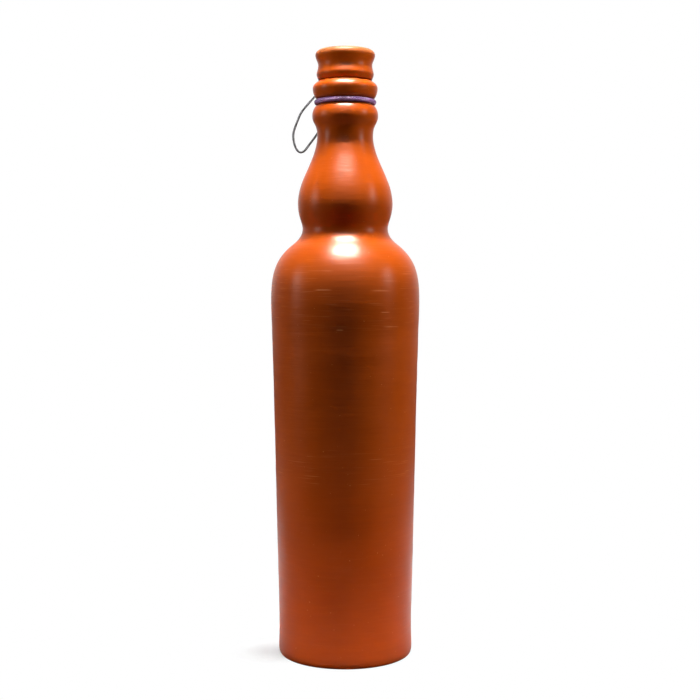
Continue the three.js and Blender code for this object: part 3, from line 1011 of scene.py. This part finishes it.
NECK_MIDDLE = (0, 0, 0.27)
STOPPER_MIDDLE = (0, 0, 0.33)
FLOOR_BEHIND = (0, 0.2, 0)
LEFT_BOX = (-0.96, -0.17, 0.45)
RIGHT_BOX = (0.9, -0.3, 0.55)
SQUARE = (0.2, 0.2)
LAMPS = {
    "key_lamp": Lamp((0, -0.06, 0.6), NECK_MIDDLE, (0.13, 0.0117), "key_brightness"),
    "key_sheen": Lamp((0, -0.047, 0.6), NECK_MIDDLE, (0.18, 0.145), "sheen_brightness", lights=False),
    "left_lamp": Lamp((-0.86, -0.08, 0.77), NECK_MIDDLE, SQUARE, "left_brightness", shines=False),
    "right_lamp": Lamp((0.86, -0.08, 0.77), NECK_MIDDLE, SQUARE, "right_brightness", shines=False),
    "left_softbox": Lamp(LEFT_BOX, NECK_MIDDLE, SQUARE, "softbox_brightness"),
    "right_softbox": Lamp(RIGHT_BOX, NECK_MIDDLE, SQUARE, "softbox_brightness", share=1.2),
    "left_sheen": Lamp(LEFT_BOX, NECK_MIDDLE, SQUARE, "softbox_brightness", share=1.2, lights=False),
    "right_sheen": Lamp(RIGHT_BOX, NECK_MIDDLE, SQUARE, "softbox_brightness", share=1.44, lights=False),
    "floor_lamp": Lamp((0, 0.32, 0.8), FLOOR_BEHIND, (0.1, 0.1), "floor_brightness", grid=30),
    "stopper_lamp": Lamp(
        (0, -0.5, 0.42), STOPPER_MIDDLE, (0.05, 0.05), "stopper_brightness", shines=False, grid=12),
    "bounce_card": Lamp(
        (0, -0.085, 0.001), (0, -0.085, 1), (0.12, 0.08), "bounce_brightness", shines=False),
}

# Floor, in metres: for the light that it throws back, a pale patch under the bottle and behind it, with
# painted shade farther off and in a ring at the heel, and the spot where the camera sees the shadow left of
# the foot
FLOOR_HALF = 4.0
PATCH_MIDDLE, PATCH_EDGE = (0, 0.25, 0), (0.32, 0.42)
HEEL_SHADE_RING = (0.036, 0.043)
SHADOW_MIDDLE, SHADOW_REACH = (-0.038, 0, 0), 0.026
PALE_FLOOR, PAINTED_SHADE_FLOOR, SHADED_FLOOR = 0.65, 0.05, 0.55
SHADOW_WHITE = 0.4

# Surround: how far a direction has to point away from the camera for its light to set in and to be full
BACKDROP_EDGE = (0.0, 0.5)
RIM_EDGE = (0.45, 0.95)

# Camera, in millimetres
SENSOR_WIDTH = 36


class BOTTLE_OT_set_stage(bpy.types.Operator):
    """Set the camera, the lamps, the floor and the white surround"""

    bl_idname = "bottle.set_stage"
    bl_label = "Set the stage"

    def execute(self, context):
        settings = context.scene.bottle_stage
        context.scene.view_settings.view_transform = "Standard"
        self.place_camera(context.scene, settings)
        for name, lamp in LAMPS.items():
            self.hang_lamp(context.scene, name, lamp, lamp.share * getattr(settings, lamp.setting))
        self.lay_floor(context.scene)
        self.fill_world(context.scene, settings)
        return {"FINISHED"}

    def place_camera(self, scene, settings):
        """A camera in front of the bottle, turned a little down and to the right."""
        data = bpy.data.cameras.new("camera")
        data.sensor_width = SENSOR_WIDTH
        data.lens = settings.lens
        camera = bpy.data.objects.new("camera", data)
        camera.location = (0, -settings.camera_distance, settings.camera_height)
        camera.rotation_euler = (math.pi / 2 - settings.camera_pitch, 0, -settings.camera_yaw)
        scene.collection.objects.link(camera)
        scene.camera = camera

    def hang_lamp(self, scene, name, lamp, radiance):
        """A flat lamp that the camera doesn't see."""
        data = bpy.data.lights.new(name, "AREA")
        data.shape = "RECTANGLE"
        data.size, data.size_y = lamp.size
        data.energy = radiance * math.pi * data.size * data.size_y
        data.spread = math.radians(lamp.grid)
        hung = bpy.data.objects.new(name, data)
        hung.location = lamp.place
        hung.rotation_euler = (Vector(lamp.faces) - Vector(lamp.place)).to_track_quat("-Z", "Y").to_euler()
        hung.visible_camera = False
        hung.visible_glossy = lamp.shines
        hung.visible_diffuse = lamp.lights
        scene.collection.objects.link(hung)

    def lay_floor(self, scene):
        """White to the camera but for the shadow, and else pale round the bottle, with painted shade
        farther off and at the heel.
        """
        mesh = bpy.data.meshes.new("floor")
        corners = [(-1, -1), (1, -1), (1, 1), (-1, 1)]
        mesh.from_pydata([(x * FLOOR_HALF, y * FLOOR_HALF, 0) for x, y in corners], [], [(0, 1, 2, 3)])
        floor = bpy.data.objects.new("floor", mesh)
        scene.collection.objects.link(floor)
        material, tree, shader = new_material("white_floor")
        seen = add(tree, "ShaderNodeLightPath").outputs["Is Camera Ray"]
        place = object_place(tree)

        def away_from(middle):
            inputs = {0: place, 1: middle}
            return add(tree, "ShaderNodeVectorMath", inputs, operation="DISTANCE").outputs["Value"]

        # Painted shade: for the light that the floor throws back, it is dark farther off and in a ring at
        # the heel
        far = ranged(tree, away_from(PATCH_MIDDLE), *PATCH_EDGE)
        shade_mask = maths(tree, "MAXIMUM", far, ranged(tree, away_from((0, 0, 0)), *HEEL_SHADE_RING, 1.0, 0.0))
        unseen = mixed(tree, shade_mask, grey(PALE_FLOOR), grey(PAINTED_SHADE_FLOOR))
        feed(tree, shader.inputs, {
            "Base Color": mixed(tree, seen, unseen, grey(SHADED_FLOOR)), "Roughness": 0.9,
            "Specular IOR Level": 0.0})
        white = out(tree, "ShaderNodeEmission", {"Color": grey(1), "Strength": 1.0})
        blank = ranged(tree, away_from(SHADOW_MIDDLE), 0.0, SHADOW_REACH, SHADOW_WHITE, 1.0)
        inputs = {0: times(tree, seen, blank), 1: shader.outputs[0], 2: white}
        both = out(tree, "ShaderNodeMixShader", inputs)
        feed(tree, tree.nodes["Material Output"].inputs, {"Surface": both})
        mesh.materials.append(material)

    def fill_world(self, scene, settings):
        """White to the camera, and else bright behind the bottle, and more so in its reflections."""
        scene.world = bpy.data.worlds.new("white_surround")
        scene.world.use_nodes = True
        tree = scene.world.node_tree
        direction = add(tree, "ShaderNodeTexCoord").outputs["Generated"]
        depth = add(tree, "ShaderNodeSeparateXYZ", {0: direction}).outputs["Y"]
        paths = add(tree, "ShaderNodeLightPath").outputs
        light = ranged(tree, depth, *BACKDROP_EDGE, 0.0, settings.backdrop_brightness)
        rim = ranged(tree, depth, *RIM_EDGE, 0.0, settings.rim_brightness)
        light = maths(tree, "ADD", light, times(tree, paths["Is Glossy Ray"], rim))
        seen = maths(tree, "MAXIMUM", paths["Is Camera Ray"], paths["Is Transmission Ray"])
        strength = out(tree, "ShaderNodeMix", {"Factor": seen, 2: light, 3: 1.0}, data_type="FLOAT")
        feed(tree, tree.nodes["Background"].inputs, {"Color": grey(1), "Strength": strength})


# Pieces

class BOTTLE_OT_hang_loop(bpy.types.Operator):
    """Twist the thin loop that hangs at the left of the neck"""

    bl_idname = "bottle.hang_loop"
    bl_label = "Twist the hanging loop"

    def execute(self, context):
        cords = context.scene.bottle_cords
        path = loop_path()
        strand = LOOP_STRAND * cords.loop_radius
        piece = grown(
            "twisted_loop", line_mesh("loop_route", path), shared(strand_tree), strands=cords.loop_strands,
            ways=1, ring_radius=cords.loop_radius - strand, weave_depth=0.0, strand_radius=strand,
            lay_length=cords.loop_lay, spacing=LOOP_ROWS, strand_sides=LOOP_STRAND_SIDES,
            material=yarn("grey_yarn", cords.loop_colour, cords.loop_roughness, cords.loop_shine))
        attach(piece, "loop")
        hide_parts("hang_loop")
        return {"FINISHED"}


class BOTTLE_OT_braid_neck_cord(bpy.types.Operator):
    """Braid the cord that lies in the groove and takes a round turn behind the neck"""

    bl_idname = "bottle.braid_neck_cord"
    bl_label = "Braid the neck cord"

    def execute(self, context):
        cords = context.scene.bottle_cords
        strand, weave = BRAID_STRAND * cords.neck_radius, BRAID_WEAVE * cords.neck_radius
        piece = grown(
            "braided_neck_cord", line_mesh("neck_cord_route", neck_cord_path()), shared(strand_tree),
            strands=cords.neck_strands, ways=2, ring_radius=cords.neck_radius - strand - weave,
            weave_depth=weave, strand_radius=strand, lay_length=cords.neck_lay, spacing=BRAID_ROWS,
            strand_sides=BRAID_STRAND_SIDES,
            material=yarn("purple_yarn", cords.neck_colour, cords.neck_roughness, cords.neck_shine))
        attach(piece, "cord")
        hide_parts("neck_cord")
        return {"FINISHED"}


class BOTTLE_OT_turn_body(bpy.types.Operator):
    """Turn the hollow clay body"""

    bl_idname = "bottle.turn_body"
    bl_label = "Turn the body"

    def execute(self, context):
        clay = context.scene.bottle_clay
        material = burnished_clay("burnished_body_clay", clay, clay.body_wear)
        piece = turned_piece("turned_body", body_outline(), context.scene.bottle_sizes, material)
        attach(piece, "bottle")
        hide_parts("bottle_body")
        return {"FINISHED"}


class BOTTLE_OT_turn_stopper(bpy.types.Operator):
    """Turn the clay stopper and put the sealing ring on its plug"""

    bl_idname = "bottle.turn_stopper"
    bl_label = "Turn the stopper"

    def execute(self, context):
        sizes, clay = context.scene.bottle_sizes, context.scene.bottle_clay
        material = burnished_clay("burnished_stopper_clay", clay, clay.stopper_wear)
        stopper = turned_piece("turned_stopper", stopper_outline(), sizes, material, STOPPER_RIPPLE_SEED)
        seal = turned_piece("seal_ring", seal_outline(), sizes, seal_rubber())
        for piece, slot, node in (
                (stopper, "stopper_clay", "stopper"), (seal, "seal_rubber", "stopper_gasket")):
            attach(piece, "stopper")
            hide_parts(node)
        return {"FINISHED"}


OPERATORS = (
    BOTTLE_OT_set_stage, BOTTLE_OT_hang_loop, BOTTLE_OT_braid_neck_cord, BOTTLE_OT_turn_body,
    BOTTLE_OT_turn_stopper,
)


class BOTTLE_PT_pieces(bpy.types.Panel):
    """The pieces of the bottle, in the order in which they are made"""

    bl_idname = "BOTTLE_PT_pieces"
    bl_label = "Clay water bottle"
    bl_space_type = "VIEW_3D"
    bl_region_type = "UI"
    bl_category = "Bottle"

    def draw(self, context):
        for operator in OPERATORS:
            self.layout.operator(operator.bl_idname)
        for label in SETTINGS:
            box = self.layout.box()
            settings = getattr(context.scene, label)
            for name in settings.bl_rna.properties.keys():
                if name not in ("rna_type", "name"):
                    box.prop(settings, name)


SETTINGS = {
    "bottle_sizes": BottleSizes,
    "bottle_clay": ClayFinish,
    "bottle_cords": CordSizes,
    "bottle_stage": StageSettings,
}
CLASSES = (*SETTINGS.values(), *OPERATORS, BOTTLE_PT_pieces)


def register():
    for item in CLASSES:
        bpy.utils.register_class(item)
    for label, group in SETTINGS.items():
        setattr(bpy.types.Scene, label, PointerProperty(type=group))


def unregister():
    for label in SETTINGS:
        delattr(bpy.types.Scene, label)
    for item in reversed(CLASSES):
        bpy.utils.unregister_class(item)


def main():
    register()
    bpy.ops.bottle.set_stage()
    bpy.ops.bottle.hang_loop()
    bpy.ops.bottle.braid_neck_cord()
    bpy.ops.bottle.turn_body()
    bpy.ops.bottle.turn_stopper()


if __name__ == "__main__":
    main()
